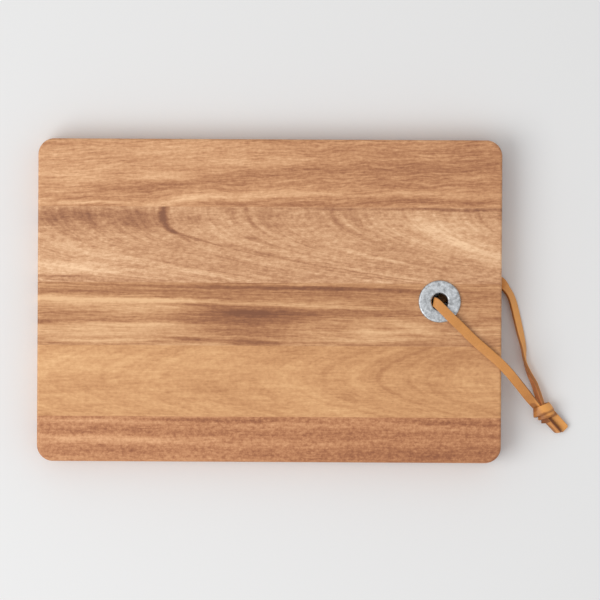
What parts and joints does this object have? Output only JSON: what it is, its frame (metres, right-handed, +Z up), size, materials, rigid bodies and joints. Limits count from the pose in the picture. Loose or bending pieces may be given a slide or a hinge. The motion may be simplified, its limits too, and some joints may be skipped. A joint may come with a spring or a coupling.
{
  "type": "cheese board",
  "caption": "Small rectangular cheese board of edge-glued wooden staves with rounded corners, a metal eyelet near one end and a knotted leather lace to hang it by.",
  "frame": {"origin": "on the table under the middle of the board, the lace left out of account", "axes": "+X along the board towards the end with the eyelet, +Y towards the far long edge, +Z up from the table through the board's thickness"},
  "size_m": [0.2642, 0.16, 0.0199],
  "materials": {
    "acacia_stave_1": "oiled acacia, golden tan, browner towards the eyelet's end",
    "acacia_stave_2": "oiled acacia, pinkish tan",
    "acacia_stave_3": "oiled acacia, tan with dark brown and cream streaks",
    "acacia_stave_4": "oiled acacia, even orange tan",
    "acacia_stave_5": "oiled acacia, reddish brown",
    "galvanised_steel": "galvanised, mottled, satin",
    "tan_leather": "smooth vegetable-tanned face, darker cut edges"
  },
  "bodies": {
    "root": {"stave_1": "acacia_stave_1", "stave_2": "acacia_stave_2", "stave_3": "acacia_stave_3", "stave_4": "acacia_stave_4", "stave_5": "acacia_stave_5", "eyelet_front": "galvanised_steel", "eyelet_rear": "galvanised_steel", "lace_front_strand": "tan_leather", "lace_rear_strand": "tan_leather", "lace_knot": "tan_leather", "lace_tail_upper": "tan_leather", "lace_tail_lower": "tan_leather"}
  },
  "joints": []
}
